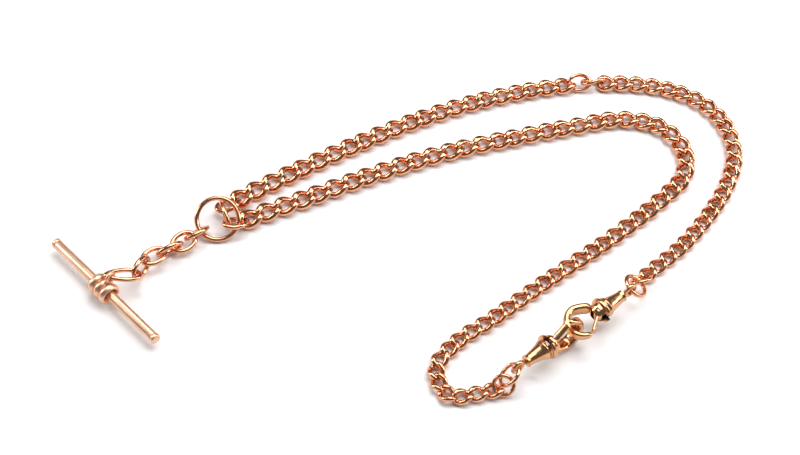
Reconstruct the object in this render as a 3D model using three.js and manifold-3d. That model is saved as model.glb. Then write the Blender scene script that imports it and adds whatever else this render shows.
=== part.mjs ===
// Double Albert pocket watch chain, laid out on a flat surface. Millimetres, +Z up.
// The T-bar drop and the lower of two graduated curb-chain arms hang on one round ring, and the
// upper arm is tied to the lower one under the ring's rim by an oval link. The two swivel clasps
// at the far ends of the arms are hooked into each other.
import * as THREE from 'three';
import { mergeVertices } from 'three/addons/utils/BufferGeometryUtils.js';
import Module from 'manifold-3d';

const wasm = await Module();
wasm.setup();

const degrees = THREE.MathUtils.degToRad;
const vec = (x, y, z = 0) => new THREE.Vector3(x, y, z);

// ---------------------------------------------------------------- driving sizes

const SCALE = 1;                  // size of the whole chain over the sizes below

const CURB = {                    // the curb links beside the ring
  wire: 1.0,
  width: 4.6,
  taper: 0.76,                    // size of an arm's last link over its first
  twist: degrees(46),             // turn of each end of a link about the chain's line
  fusedGrip: 0.76,                // wire centres at a joint inside a run, in wires
  looseGrip: 1.22,                // wire centres where two runs meet, in wires
};
const JOIN = {                    // the pair that splices the upper arm
  wire: 0.75,
  length: 5.7,
  width: 4.1,
  twist: degrees(25),
  rolls: { join_link_inner: degrees(44), join_link_outer: degrees(-48) },
};
const UPPER_END = { wire: 0.95, length: 6.2, width: 4.6, twist: degrees(15) };
const LOWER_END = { wire: 0.95, length: 6.4, width: 4.7, twist: degrees(10) };
const MIDDLE = { wire: 0.8, length: 7.0, width: 4.6 };     // oval link between the arms
const DROP = { wire: 0.95, openingLength: 4.35, openingWidth: 2.7 };   // trace links of the drop
const RING = { wire: 0.95, diameter: 9.7, rise: 2.1875 };   // rise: rim's rest to its middle
const BAR = { length: 33.4, diameter: 2.1 };
const CAP = { length: 1.0, radius: 1.12, spigotRadius: 0.6, clearance: 0.12 };
const COLLAR = { length: 5.2, radius: 2.35, valleyRadius: 1.75, ridges: 3, clearance: 0.22 };
const EYELET = { wire: 0.75, diameter: 2.9 };
const SHACKLE = { wire: 0.9, length: 8.0, wideEnd: 4.8, narrowEnd: 3.1 };
const JUMP = { wire: 0.8, large: 5.6, small: 4.8 };
const CLASP = {
  reach: 7.7,                     // flange to the centre of the swivel eye
  throat: 8.05,                   // flange to the wire at the far end of the hook
  flangeRadius: 2.6,
  flangeThickness: 0.8,
  barrelRadius: 1.3,
  headRadius: 2.0,
  strapWidth: 2.7,
  strapThickness: 1.5,
  stemRadius: 0.4,
  eyeWire: 0.85,
  eyeDiameter: 3.3,
  slotWidth: 2.0,
  pinRadius: 0.35,
  pinLength: 3.6,
  clearance: 0.15,
  interlock: 1.85,                // how far one hook reaches past the other's end
};

// How many links each rigid run of an arm holds, counted from the ring.
const UPPER_RUNS_BEFORE_JOIN = [4, 4, 4, 4, 3, 3];
const UPPER_RUNS_AFTER_JOIN = [5, 4, 4, 4, 4, 4];
const LOWER_RUNS = [4, 3, 3, 3, 3, 3, 3, 3, 3, 3, 3, 4, 4, 4, 4, 3, 5];

DROP.length = DROP.openingLength + 2 * DROP.wire;
DROP.width = DROP.openingWidth + 2 * DROP.wire;

const WIRE_SIDES = 4;
const CURB_STEPS = 10;
const OVAL_SIDES = 6;
const OVAL_STEPS = 14;
const TURNED_SIDES = 16;

const FINISH = {
  chain: { color: 0xd9986f, roughness: 0.16, metalness: 1 },
  bar: { color: 0xe2bc9c, roughness: 0.42, metalness: 1 },
  clasp: { color: 0xc29463, roughness: 0.24, metalness: 1 },
};

// ---------------------------------------------------------------- solids

// Moves every point of a closed stock geometry by a rule, and keeps its faces outward.
function reshape(geometry, rule) {
  const points = geometry.attributes.position;
  for (let i = 0; i < points.count; i += 1) {
    const moved = rule(new THREE.Vector3().fromBufferAttribute(points, i));
    points.setXYZ(i, moved.x, moved.y, moved.z);
  }
  return weld(geometry);
}

function weld(geometry) {
  const bare = geometry.clone();
  bare.deleteAttribute('normal');
  bare.deleteAttribute('uv');
  return mergeVertices(bare, 1e-4);
}

function solid(geometry) {
  const welded = weld(geometry);
  return new wasm.Manifold(new wasm.Mesh({
    numProp: 3,
    vertProperties: Float32Array.from(welded.attributes.position.array),
    triVerts: Uint32Array.from(welded.index.array),
  }));
}

function join(...geometries) {
  return meshGeometry(geometries.map(solid).reduce((whole, piece) => whole.add(piece)));
}

function cut(body, ...tools) {
  return meshGeometry(tools.map(solid).reduce((left, tool) => left.subtract(tool), solid(body)));
}

function meshGeometry(manifold) {
  const mesh = manifold.getMesh();
  const geometry = new THREE.BufferGeometry();
  geometry.setAttribute('position', new THREE.BufferAttribute(mesh.vertProperties, 3));
  geometry.setIndex(new THREE.BufferAttribute(mesh.triVerts, 1));
  return geometry;
}

// Round wire bent into a closed loop: a torus whose ring follows path(angle).
function wireLoop(path, wire, steps = OVAL_STEPS, sides = OVAL_SIDES) {
  const small = 0.25;
  const around = new THREE.TorusGeometry(1, small, sides, steps);
  return reshape(around, (point) => {
    const angle = Math.atan2(point.y, point.x);
    const outward = (Math.hypot(point.x, point.y) - 1) / small;
    const upward = point.z / small;
    const centre = path(angle);
    const delta = 1e-3;
    const tangent = path(angle + delta).sub(path(angle - delta)).normalize();
    const normal = centre.clone().addScaledVector(tangent, -centre.dot(tangent)).normalize();
    const binormal = normal.clone().cross(tangent);
    return centre
      .addScaledVector(normal, outward * wire / 2)
      .addScaledVector(binormal, upward * wire / 2);
  });
}

// Closed oval path along X; twist turns its two ends opposite ways about X.
function ovalPath(length, width, wire, twist = 0) {
  const halfLength = (length - wire) / 2;
  const halfWidth = (width - wire) / 2;
  return (angle) => {
    const side = halfWidth * Math.sin(angle);
    const turn = -twist * Math.cos(angle);
    return vec(halfLength * Math.cos(angle), side * Math.cos(turn), side * Math.sin(turn));
  };
}

// Bar of a changing oval section along a curve, with flat ends.
function taperedBar(curve, widthAt, thicknessAt, steps, sides = 8) {
  const stock = new THREE.CylinderGeometry(1, 1, 1, sides, steps);
  return reshape(stock, (point) => {
    const along = point.y + 0.5;
    const centre = curve.getPoint(along);
    const tangent = curve.getTangent(along);
    const across = vec(0, 0, 1);
    const inPlane = across.clone().cross(tangent).normalize();
    return centre
      .addScaledVector(across, point.x * widthAt(along) / 2)
      .addScaledVector(inPlane, point.z * thicknessAt(along) / 2);
  });
}

// Solid turned about the X axis from [x, radius] pairs that start and end on the axis.
function turned(profile, sides) {
  const points = profile.map(([x, radius]) => new THREE.Vector2(radius, x));
  return new THREE.LatheGeometry(points, sides).rotateZ(-Math.PI / 2);
}

function pin(radius, length, sides = 8) {
  return new THREE.CylinderGeometry(radius, radius, length, sides).rotateX(Math.PI / 2);
}

// ---------------------------------------------------------------- placing

// Frame with X along a heading, turned up by pitch and rolled about its own X.
function pose(centre, heading, roll = 0, pitch = 0) {
  const turn = new THREE.Quaternion()
    .setFromEuler(new THREE.Euler(roll, -pitch, heading, 'ZYX'));
  return new THREE.Matrix4().compose(centre, turn, vec(1, 1, 1));
}

const object = new THREE.Group();

function addPart(name, geometry, finish, place) {
  const mesh = new THREE.Mesh(geometry, new THREE.MeshStandardMaterial(finish));
  mesh.name = name;
  if (place) mesh.applyMatrix4(place);
  object.add(mesh);
  return mesh;
}

function headingOf(direction) {
  return Math.atan2(direction.y, direction.x);
}

// ---------------------------------------------------------------- layout

const CLASP_CENTRE = [34.6, -28.6];   // where the two hooks hold each other
const CLASP_HEADING = degrees(38.7);

// Place of a clasp's swivel eye plus an offset: side is 1 for clasp a and -1 for clasp b.
function besideEye(side, offsetX, offsetY) {
  const distance = side * (CLASP.throat - CLASP.interlock / 2 + CLASP.reach);
  const x = CLASP_CENTRE[0] + Math.cos(CLASP_HEADING) * distance;
  const y = CLASP_CENTRE[1] + Math.sin(CLASP_HEADING) * distance;
  return [x + offsetX, y + offsetY];
}

// Points of the two arms' lines, chosen by hand, from the link at the ring to the jump rings.
const UPPER_POINTS = [
  [-35.97, 4.86], [-32.9, 7.2], [-22.7, 13.8], [-9.0, 21.9], [5.2, 29.3], [20.0, 35.0], [35.6, 38.6],
  [50.0, 39.3], [59.4, 37.4], [66.1, 33.4], [70.3, 26.9], [71.4, 19.0], [69.3, 11.3],
  [65.5, 4.2], [58.4, -5.3], besideEye(1, 4.43, 6.53),
];
const LOWER_POINTS = [
  [-34.08, -0.33], [-30.9, 1.6], [-20.1, 6.6], [-5.6, 13.3], [9.2, 19.2], [24.6, 23.6],
  [38.0, 26.9], [48.0, 28.9], [56.0, 26.8], [60.6, 20.3], [60.0, 13.0], [55.0, 6.8],
  [43.2, -4.1], [30.7, -14.0], [18.4, -24.2], [11.4, -29.6], [7.1, -36.0], [9.6, -42.3],
  besideEye(-1, -4.73, -3.33),
];
const RING_EDGE = [-33.425, 0.16];    // the ring's wire at the lower arm
const BAR_CENTRE = [-59.61, -17.89];
const COLLAR_OFFSET = -0.5;       // along the bar from its middle
const BAR_HEADING = degrees(-47.3);

function routeOf(points) {
  return new THREE.CatmullRomCurve3(points.map(([x, y]) => vec(x, y)), false, 'centripetal');
}

// Height of an oval link's middle when its lowest point touches z = 0.
function restHeight({ width, wire, twist }, roll = 0) {
  const halfWidth = (width - wire) / 2;
  const angles = Array.from({ length: 181 }, (_, i) => degrees(i));
  const depths = angles.map((angle) => halfWidth * Math.sin(angle)
    * Math.abs(Math.sin(roll - twist * Math.cos(angle))));
  return Math.max(...depths) + wire / 2;
}

// Places every link of an arm along its line, the spacing shared out so that they fill it.
function layArm(points, runs) {
  const route = routeOf(points);
  const count = runs.reduce((sum, run) => sum + run.links, 0);
  const looseAfter = new Set();
  runs.reduce((sum, run) => { looseAfter.add(sum + run.links - 1); return sum + run.links; }, 0);
  const scaleAt = (i) => 1 - (1 - CURB.taper) * i / (count - 1);
  const gripAt = (i) => (looseAfter.has(i) ? CURB.looseGrip : CURB.fusedGrip);
  const meanWire = (i) => CURB.wire * (scaleAt(i) + scaleAt(i + 1)) / 2;
  let gripTotal = 0;
  let scaleTotal = 0;
  for (let i = 0; i < count - 1; i += 1) {
    gripTotal += gripAt(i) * meanWire(i);
    scaleTotal += scaleAt(i) + scaleAt(i + 1);
  }
  const reach = (route.getLength() + gripTotal) / scaleTotal;
  const links = [];
  let along = 0;
  for (let i = 0; i < count; i += 1) {
    const share = Math.min(along / route.getLength(), 1);
    const scale = scaleAt(i);
    const wire = CURB.wire * scale;
    const width = CURB.width * scale;
    const centre = route.getPointAt(share);
    centre.z = restHeight({ width, wire, twist: CURB.twist });
    links.push({
      centre,
      heading: headingOf(route.getTangentAt(share)),
      length: 2 * reach * scale + wire,
      width,
      wire,
    });
    along += reach * (scaleAt(i) + scaleAt(i + 1)) - gripAt(i) * meanWire(i);
  }
  return links;
}

function curbGeometry(link) {
  const path = ovalPath(link.length, link.width, link.wire, CURB.twist);
  return wireLoop(path, link.wire, CURB_STEPS, WIRE_SIDES)
    .applyMatrix4(pose(link.centre, link.heading));
}

// ---------------------------------------------------------------- joints

const bodies = {};
const hinges = [];

function addBody(name, ...nodes) {
  bodies[name] = nodes.length ? nodes : [name];
}

// A hinge between two bodies; lowest and highest are degrees, driver is the hinge it follows.
function addHinge(name, parent, child, point, axis, lowest, highest, driver, ratio = 1) {
  hinges.push({
    name, parent, child, point: point.clone(), axis: axis.clone().normalize(),
    lowest, highest, driver, ratio,
  });
}

const twoDigits = (number) => String(number).padStart(2, '0');

// ---------------------------------------------------------------- the ring and what hangs on it

const ringRadius = (RING.diameter - RING.wire) / 2;
const ringEdge = vec(...RING_EDGE, RING.rise + RING.wire / 2);
const ringCentre = ringEdge.clone().sub(vec(ringRadius, 0));
const circle = (radius) => (angle) => vec(radius * Math.cos(angle), radius * Math.sin(angle));
addPart('albert_ring', wireLoop(circle(ringRadius), RING.wire, 24), FINISH.chain,
  pose(ringCentre, 0, Math.asin(RING.rise / ringRadius)));
addBody('root', 'albert_ring');

function linkGeometry(size) {
  return wireLoop(ovalPath(size.length, size.width, size.wire, size.twist ?? 0), size.wire);
}

// Direction of a heading, pitch and roll in degrees as the X, Y or Z of the turned frame.
function turnedAxis(axis, [heading, pitch, roll]) {
  const frame = pose(vec(0, 0), degrees(heading), degrees(roll), degrees(pitch));
  return axis.clone().transformDirection(frame);
}

// A link placed from the ring's edge, its angles as [heading, pitch, roll] in degrees.
function addRingLink(name, size, offset, [heading, pitch, roll]) {
  const centre = ringEdge.clone().add(offset);
  addPart(name, linkGeometry(size), FINISH.chain,
    pose(centre, degrees(heading), degrees(roll), degrees(pitch)));
  addBody(name);
  return centre;
}

const UPPER_END_ANGLES = [39, -8, -21];
const LOWER_END_ANGLES = [37, -23, -20];
const MIDDLE_ANGLES = [112, 8, 84];
const upperEnd = addRingLink('upper_end_link', UPPER_END, vec(-2.545, 4.7, -1.22), UPPER_END_ANGLES);
const lowerEnd = addRingLink('lower_end_link', LOWER_END, vec(-0.655, -0.49, -0.69), LOWER_END_ANGLES);
const middle = addRingLink('middle_link', MIDDLE, vec(-2.835, 1.32, -0.33), MIDDLE_ANGLES);

// Middle of the wire at one end of a link: side is -1 for its inner end and 1 for its outer.
function linkTip(centre, size, angles, side) {
  const reach = side * (size.length - size.wire) / 2;
  return centre.clone().addScaledVector(turnedAxis(vec(1, 0, 0), angles), reach);
}

const middleLow = linkTip(middle, MIDDLE, MIDDLE_ANGLES, -1);
const middleHigh = linkTip(middle, MIDDLE, MIDDLE_ANGLES, 1);
addHinge('ring_turn', 'root', 'lower_end_link', lowerEnd,
  turnedAxis(vec(0, 0, 1), LOWER_END_ANGLES), -8, 8);
addHinge('middle_link_roll', 'lower_end_link', 'middle_link', middleLow,
  middleHigh.clone().sub(middleLow), -6, 6);
addHinge('upper_end_roll', 'middle_link', 'upper_end_link', middleHigh,
  middleHigh.clone().sub(middleLow), -6, 6, 'middle_link_roll', -1);

// ---------------------------------------------------------------- the two arms

const upperRuns = [
  { single: 'upper_end_link', links: 1 },
  ...UPPER_RUNS_BEFORE_JOIN.map((links) => ({ links })),
  { single: 'join_link_inner', links: 1 },
  { single: 'join_link_outer', links: 1 },
  ...UPPER_RUNS_AFTER_JOIN.map((links) => ({ links })),
];
const lowerRuns = [
  { single: 'lower_end_link', links: 1 },
  ...LOWER_RUNS.map((links) => ({ links })),
];

// Adds each run as one solid, and gives its name and the places where it meets the next.
function addArm(arm, points, runs) {
  const links = layArm(points, runs);
  const pieces = [];
  let first = 0;
  let number = 0;
  for (const run of runs) {
    const own = links.slice(first, first + run.links);
    const next = links[first + run.links];
    first += run.links;
    if (!run.single) number += 1;
    const name = run.single ?? `${arm}_run_${twoDigits(number)}`;
    if (!run.single) addPart(name, join(...own.map(curbGeometry)), FINISH.chain);
    if (name in JOIN.rolls) addJoinLink(name, own[0]);
    if (!bodies[name]) addBody(name);
    const meeting = next && own.at(-1).centre.clone().lerp(next.centre, 0.5);
    pieces.push({ name, meeting, links: own });
  }
  return pieces;
}

function addJoinLink(name, link) {
  const roll = JOIN.rolls[name];
  link.centre.z = restHeight(JOIN, roll);
  addPart(name, linkGeometry(JOIN), FINISH.chain, pose(link.centre, link.heading, roll));
}

const upper = addArm('upper', UPPER_POINTS, upperRuns);
const lower = addArm('lower', LOWER_POINTS, lowerRuns);

const joinStart = upper.findIndex((piece) => piece.name === 'join_link_inner');
const [joinInner, joinOuter] = upper.slice(joinStart, joinStart + 2);
const upperBodies = upper.filter((piece) => !piece.name.startsWith('join_link'));
upperBodies[joinStart - 1].meeting = joinInner.meeting;

// Both arms fold together about the line through a meeting on each, which keeps them closed.
const FOLD = 12;
const foldCount = upperBodies.length - 1;
for (let i = 0; i < foldCount; i += 1) {
  const above = upperBodies[i];
  const below = lower[i];
  const line = below.meeting.clone().sub(above.meeting);
  if (i % 2) line.negate();
  const fold = `fold_${twoDigits(i + 1)}`;
  addHinge(`${fold}_upper`, above.name, upperBodies[i + 1].name, above.meeting, line,
    -FOLD, FOLD);
  addHinge(`${fold}_lower`, below.name, lower[i + 1].name, below.meeting, line,
    -FOLD, FOLD, `${fold}_upper`);
}
for (const [piece, holder] of [[joinInner, joinStart - 1], [joinOuter, joinStart]]) {
  const link = piece.links[0];
  addHinge(`${piece.name}_roll`, upperBodies[holder].name, piece.name, link.centre,
    vec(Math.cos(link.heading), Math.sin(link.heading)), -8, 8);
}

// ---------------------------------------------------------------- the drop to the T-bar

const DROP_PLACES = [                 // centre, then [heading, pitch, roll] in degrees
  { name: 'drop_link_1', place: vec(-52.7, -12.4, 2.66), angles: [62, -13, 81] },
  { name: 'drop_link_2', place: vec(-50.42, -9.07, 2.04), angles: [42, -6, -2] },
  { name: 'drop_link_3', place: vec(-47.29, -7.36, 2.2), angles: [30, 2, 111] },
  { name: 'drop_link_4', place: vec(-44.59, -5.2, 1.8), angles: [39, 3, 17] },
  { name: 'drop_link_5', place: vec(-42.04, -2.96, 1.92), angles: [43, -10, 131] },
];
const SHACKLE_PLACE = { place: vec(-56.02, -15.29, 3.98), angles: [13, -15, -13] };
const EYELET_CENTRE = vec(-58.4, -16.6, 4.85);
const EYELET_HEADING = degrees(56);

for (const { name, place, angles } of DROP_PLACES) {
  const [heading, pitch, roll] = angles.map(degrees);
  addPart(name, linkGeometry(DROP), FINISH.chain, pose(place, heading, roll, pitch));
  addBody(name);
}

// Closed path that is narrow at its start and wide at its end.
function pearPath({ length, wire, wideEnd, narrowEnd }) {
  const mean = (wideEnd + narrowEnd - 2 * wire) / 4;
  const growth = (wideEnd - narrowEnd) / 4;
  return (angle) => vec(
    (length - wire) / 2 * Math.cos(angle),
    (mean + growth * Math.cos(angle)) * Math.sin(angle),
  );
}

const shackleCentre = SHACKLE_PLACE.place;
const [shackleHeading, shacklePitch, shackleRoll] = SHACKLE_PLACE.angles.map(degrees);
addPart('pear_shackle', wireLoop(pearPath(SHACKLE), SHACKLE.wire), FINISH.chain,
  pose(shackleCentre, shackleHeading, shackleRoll, shacklePitch));
addBody('pear_shackle');

// ---------------------------------------------------------------- the T-bar

const barCentre = vec(...BAR_CENTRE, COLLAR.radius);
const barDirection = vec(Math.cos(BAR_HEADING), Math.sin(BAR_HEADING));
const collarCentre = barCentre.clone().addScaledVector(barDirection, COLLAR_OFFSET);
const eyeletOffset = EYELET_CENTRE.clone().sub(collarCentre)
  .applyAxisAngle(vec(0, 0, 1), -BAR_HEADING);

// Outline of the collar: a bore with a flared mouth inside three rounded ridges.
function collarProfile() {
  const half = COLLAR.length / 2;
  const bore = BAR.diameter / 2 + COLLAR.clearance;
  const ridgeDepth = COLLAR.radius - COLLAR.valleyRadius;
  const pointsPerRidge = 4;
  const outline = [[half, bore + 0.55], [half - 1.0, bore], [-half, bore]];
  const steps = COLLAR.ridges * pointsPerRidge;
  for (let i = 0; i <= steps; i += 1) {
    const phase = Math.abs(Math.sin(Math.PI * i / pointsPerRidge));
    const x = -half + COLLAR.length * i / steps;
    outline.push([x, COLLAR.valleyRadius + ridgeDepth * Math.sqrt(phase)]);
  }
  outline.push(outline[0]);
  return outline;
}

function collarGeometry() {
  const eyeletRadius = (EYELET.diameter - EYELET.wire) / 2;
  const eyelet = wireLoop(circle(eyeletRadius), EYELET.wire)
    .applyMatrix4(pose(eyeletOffset, EYELET_HEADING - BAR_HEADING, Math.PI / 2));
  return join(turned(collarProfile(), TURNED_SIDES), eyelet);
}

function barGeometry() {
  const shoulder = BAR.length / 2 - CAP.length + CAP.clearance;
  const radius = BAR.diameter / 2;
  const tip = BAR.length / 2 - CAP.length / 2;
  return turned([
    [-tip, 0], [-tip, CAP.spigotRadius], [-shoulder + 2 * CAP.clearance, CAP.spigotRadius],
    [-shoulder + 2 * CAP.clearance, radius], [shoulder - 2 * CAP.clearance, radius],
    [shoulder - 2 * CAP.clearance, CAP.spigotRadius], [tip, CAP.spigotRadius], [tip, 0],
  ], TURNED_SIDES);
}

// End cap of the bar with its flat outer face at x = 0 and its socket open towards -X.
function capGeometry() {
  const socket = CAP.spigotRadius + CAP.clearance;
  const depth = CAP.length / 2 + CAP.clearance;
  const chamfer = 0.2;
  return turned([
    [depth - CAP.length, 0], [depth - CAP.length, socket], [-CAP.length, socket],
    [-CAP.length, CAP.radius], [-chamfer, CAP.radius], [0, CAP.radius - chamfer], [0, 0],
  ], TURNED_SIDES);
}

const barPose = pose(barCentre, BAR_HEADING);
addPart('bar_collar', collarGeometry(), FINISH.bar, pose(collarCentre, BAR_HEADING));
addPart('t_bar', barGeometry(), FINISH.bar, barPose);
for (const [name, side] of [['bar_cap_near', 1], ['bar_cap_far', -1]]) {
  const tip = barCentre.clone().addScaledVector(barDirection, side * BAR.length / 2);
  addPart(name, capGeometry(), FINISH.bar, pose(tip, BAR_HEADING + (side < 0 ? Math.PI : 0)));
}
addBody('bar_collar');
addBody('t_bar', 't_bar', 'bar_cap_near', 'bar_cap_far');

// Each link of the drop swings about the line where it meets the one before it.
const dropChain = [...DROP_PLACES].reverse();
let dropParent = 'root';
let dropFrom = ringCentre;
for (const { name, place, angles } of dropChain) {
  const meeting = dropParent === 'root'
    ? linkTip(place, DROP, angles, 1)
    : place.clone().lerp(dropFrom, 0.5);
  addHinge(`${name}_swing`, dropParent, name, meeting, turnedAxis(vec(0, 0, 1), angles), -8, 8);
  dropParent = name;
  dropFrom = place;
}
addHinge('shackle_swing', dropParent, 'pear_shackle',
  linkTip(shackleCentre, SHACKLE, SHACKLE_PLACE.angles, 1),
  turnedAxis(vec(0, 1, 0), SHACKLE_PLACE.angles), -5, 5);
addHinge('collar_swing', 'pear_shackle', 'bar_collar', EYELET_CENTRE,
  vec(-Math.sin(EYELET_HEADING), Math.cos(EYELET_HEADING)), -5, 5);
addHinge('bar_spin', 'bar_collar', 't_bar', barCentre, barDirection, null, null);

// ---------------------------------------------------------------- the swivel clasps
// Each clasp is built with X from its flange towards the hook's far end and Y on the side
// of the hook's solid strap.

const STRAP_LINE = [[1.3, 1.5], [3.1, 2.8], [5.0, 3.4], [7.0, 2.5], [8.0, 0.8], [8.05, -1.2],
  [7.05, -2.5], [5.4, -3.3]];
const STRAP_TIP = { width: 1.3, thickness: 1.1 };
const PIVOT = vec(1.35, -0.5);
const KNUCKLE = { radius: 0.9, width: 1.6 };
const LEVER = { tip: vec(4.55, -2.75), width: 1.5, thickness: 0.85, opening: 22 };
const STEM_HEAD = { radius: 0.7, start: -4.5, end: -3.9 };
const CHAMBER = { radius: 0.92, start: -4.8, end: -3.3 };
const SLOT = { length: 4, depth: 4, centre: vec(1.4, -1.3) };
const SPRING = { thickness: 0.2, width: 1.2, length: 1.9, middle: -0.6, gap: 0.3, foot: 0.35 };
const BARREL_END = -5.7;
const THROUGH = 6;                    // length of a hole's cutter, more than a clasp's width

function claspBody() {
  const half = CLASP.flangeThickness / 2;
  const outside = turned([
    [BARREL_END, 0], [BARREL_END, CLASP.barrelRadius], [-5.0, CLASP.barrelRadius - 0.15],
    [-3.4, CLASP.barrelRadius + 0.1], [-2.0, 1.7], [-1.2, 2.1], [-0.8, 1.9], [-half, 1.9],
    [-half, CLASP.flangeRadius], [half, CLASP.flangeRadius], [half, CLASP.headRadius],
    [1.2, CLASP.headRadius], [2.2, 1.2], [2.5, 0],
  ], TURNED_SIDES);
  const root = STRAP_LINE[0][0];
  const furthest = Math.max(...STRAP_LINE.map(([x]) => x));
  const stretch = (CLASP.throat - root) / (furthest - root);
  const strapCurve = new THREE.CatmullRomCurve3(
    STRAP_LINE.map(([x, y]) => vec(root + (x - root) * stretch, y)), false, 'centripetal');
  const taper = (from, to) => (along) => from + (to - from) * Math.max(0, along * 2 - 1);
  const strap = taperedBar(strapCurve, taper(CLASP.strapWidth, STRAP_TIP.width),
    taper(CLASP.strapThickness, STRAP_TIP.thickness), 14);
  const bore = turned([
    [BARREL_END - 1, 0], [BARREL_END - 1, CLASP.stemRadius + CLASP.clearance],
    [CHAMBER.start, CLASP.stemRadius + CLASP.clearance], [CHAMBER.start, CHAMBER.radius],
    [CHAMBER.end, CHAMBER.radius], [CHAMBER.end, 0],
  ], 12);
  const slot = new THREE.BoxGeometry(SLOT.length, SLOT.depth, CLASP.slotWidth)
    .translate(SLOT.centre.x, SLOT.centre.y, 0);
  const pinHole = pin(CLASP.pinRadius + CLASP.clearance, THROUGH).translate(PIVOT.x, PIVOT.y, 0);
  const whole = join(outside, strap);
  return cut(whole, bore, slot, pinHole);
}

function leverGeometry() {
  const line = LEVER.tip.clone().sub(PIVOT);
  const bar = new THREE.BoxGeometry(line.length() + 0.2, LEVER.thickness, LEVER.width)
    .rotateZ(headingOf(line))
    .translate((LEVER.tip.x + PIVOT.x) / 2, (LEVER.tip.y + PIVOT.y) / 2, 0);
  const knuckle = pin(KNUCKLE.radius, KNUCKLE.width, 14).translate(PIVOT.x, PIVOT.y, 0);
  const hole = pin(CLASP.pinRadius + CLASP.clearance, THROUGH).translate(PIVOT.x, PIVOT.y, 0);
  return cut(join(bar, knuckle), hole);
}

function springGeometry() {
  const { thickness, width, length, middle: leafMiddle, gap, foot: footLength } = SPRING;
  const x = SLOT.centre.x - SLOT.length / 2 + gap + thickness / 2;
  const leaf = new THREE.BoxGeometry(thickness, length, width).translate(x, leafMiddle, 0);
  const foot = new THREE.BoxGeometry(footLength, thickness, width)
    .translate(x + footLength / 2 - 0.05, leafMiddle + length / 2 - 0.05, 0);
  return join(leaf, foot);
}

function swivelGeometry() {
  const radius = (CLASP.eyeDiameter - CLASP.eyeWire) / 2;
  const eye = wireLoop(circle(radius), CLASP.eyeWire).translate(-CLASP.reach, 0, 0);
  const stem = turned([
    [-CLASP.reach + radius, 0], [-CLASP.reach + radius, CLASP.stemRadius],
    [STEM_HEAD.start, CLASP.stemRadius], [STEM_HEAD.start, STEM_HEAD.radius],
    [STEM_HEAD.end, STEM_HEAD.radius], [STEM_HEAD.end, 0],
  ], 12);
  return join(eye, stem);
}

const claspAxis = vec(Math.cos(CLASP_HEADING), Math.sin(CLASP_HEADING));
const STRAP_LIFT = 0.05;              // gap under the strap
const strapReach = Math.max(...STRAP_LINE.map(([, y]) => y)) + CLASP.strapThickness / 2;
const claspMiddle = vec(...CLASP_CENTRE, strapReach + STRAP_LIFT);
const flangeGap = 2 * CLASP.throat - CLASP.interlock;
const claspPlaces = {
  a: { side: 1, heading: CLASP_HEADING + Math.PI, roll: Math.PI },
  b: { side: -1, heading: CLASP_HEADING, roll: -Math.PI / 2 },
};

for (const [letter, { side, heading, roll }] of Object.entries(claspPlaces)) {
  const flange = claspMiddle.clone().addScaledVector(claspAxis, side * flangeGap / 2);
  const place = pose(flange, heading, roll);
  const eyePlace = pose(flange, heading, Math.PI / 2);
  addPart(`clasp_${letter}_body`, claspBody(), FINISH.clasp, place);
  addPart(`clasp_${letter}_lever`, leverGeometry(), FINISH.clasp, place);
  addPart(`clasp_${letter}_pin`, pin(CLASP.pinRadius, CLASP.pinLength), FINISH.clasp,
    place.clone().multiply(new THREE.Matrix4().makeTranslation(PIVOT)));
  addPart(`clasp_${letter}_spring`, springGeometry(), FINISH.clasp, place);
  addPart(`clasp_${letter}_swivel_eye`, swivelGeometry(), FINISH.clasp, eyePlace);
  addBody(`clasp_${letter}`, `clasp_${letter}_body`, `clasp_${letter}_pin`, `clasp_${letter}_spring`);
  addBody(`clasp_${letter}_lever`);
  addBody(`clasp_${letter}_swivel_eye`);
  addHinge(`clasp_${letter}_lever_turn`, `clasp_${letter}`, `clasp_${letter}_lever`,
    PIVOT.clone().applyMatrix4(place), vec(0, 0, 1).transformDirection(place), 0, LEVER.opening);
}

// ---------------------------------------------------------------- jump rings

const JUMP_RINGS = [                  // offset from the clasp's eye, then its three angles
  { name: 'jump_ring_a_large', size: 'large', clasp: 'a', offset: vec(1.37, 1.88, -1.04),
    angles: [67, -21, 30] },
  { name: 'jump_ring_a_small', size: 'small', clasp: 'a', offset: vec(2.79, 4.61, -2.54),
    angles: [49, -22, -35] },
  { name: 'jump_ring_b_large', size: 'large', clasp: 'b', offset: vec(-1.57, -0.92, -1.3),
    angles: [47, 28, -35] },
  { name: 'jump_ring_b_small', size: 'small', clasp: 'b', offset: vec(-2.82, -2.83, -2.2),
    angles: [47, 48, 25] },
];

const eyeOf = {};
const ringsMeet = {};                 // where a clasp's two jump rings hold each other
for (const [letter, { side }] of Object.entries(claspPlaces)) {
  eyeOf[letter] = claspMiddle.clone()
    .addScaledVector(claspAxis, side * (flangeGap / 2 + CLASP.reach));
  const [large, small] = JUMP_RINGS.filter((ring) => ring.clasp === letter);
  ringsMeet[letter] = eyeOf[letter].clone().add(large.offset.clone().lerp(small.offset, 0.5));
}
for (const { name, size, clasp, offset, angles } of JUMP_RINGS) {
  const [heading, pitch, roll] = angles.map(degrees);
  const centre = eyeOf[clasp].clone().add(offset);
  const radius = (JUMP[size] - JUMP.wire) / 2;
  addPart(name, wireLoop(circle(radius), JUMP.wire, 18), FINISH.chain,
    pose(centre, heading, roll, pitch));
  addBody(name);
  const holder = size === 'large' ? `clasp_${clasp}_swivel_eye`
    : (clasp === 'a' ? upperBodies : lower).at(-1).name;
  addHinge(`${name}_turn`, holder, name, centre, turnedAxis(vec(0, 0, 1), angles), -10, 10);
}

// ---------------------------------------------------------------- joints of the closing end

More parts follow.
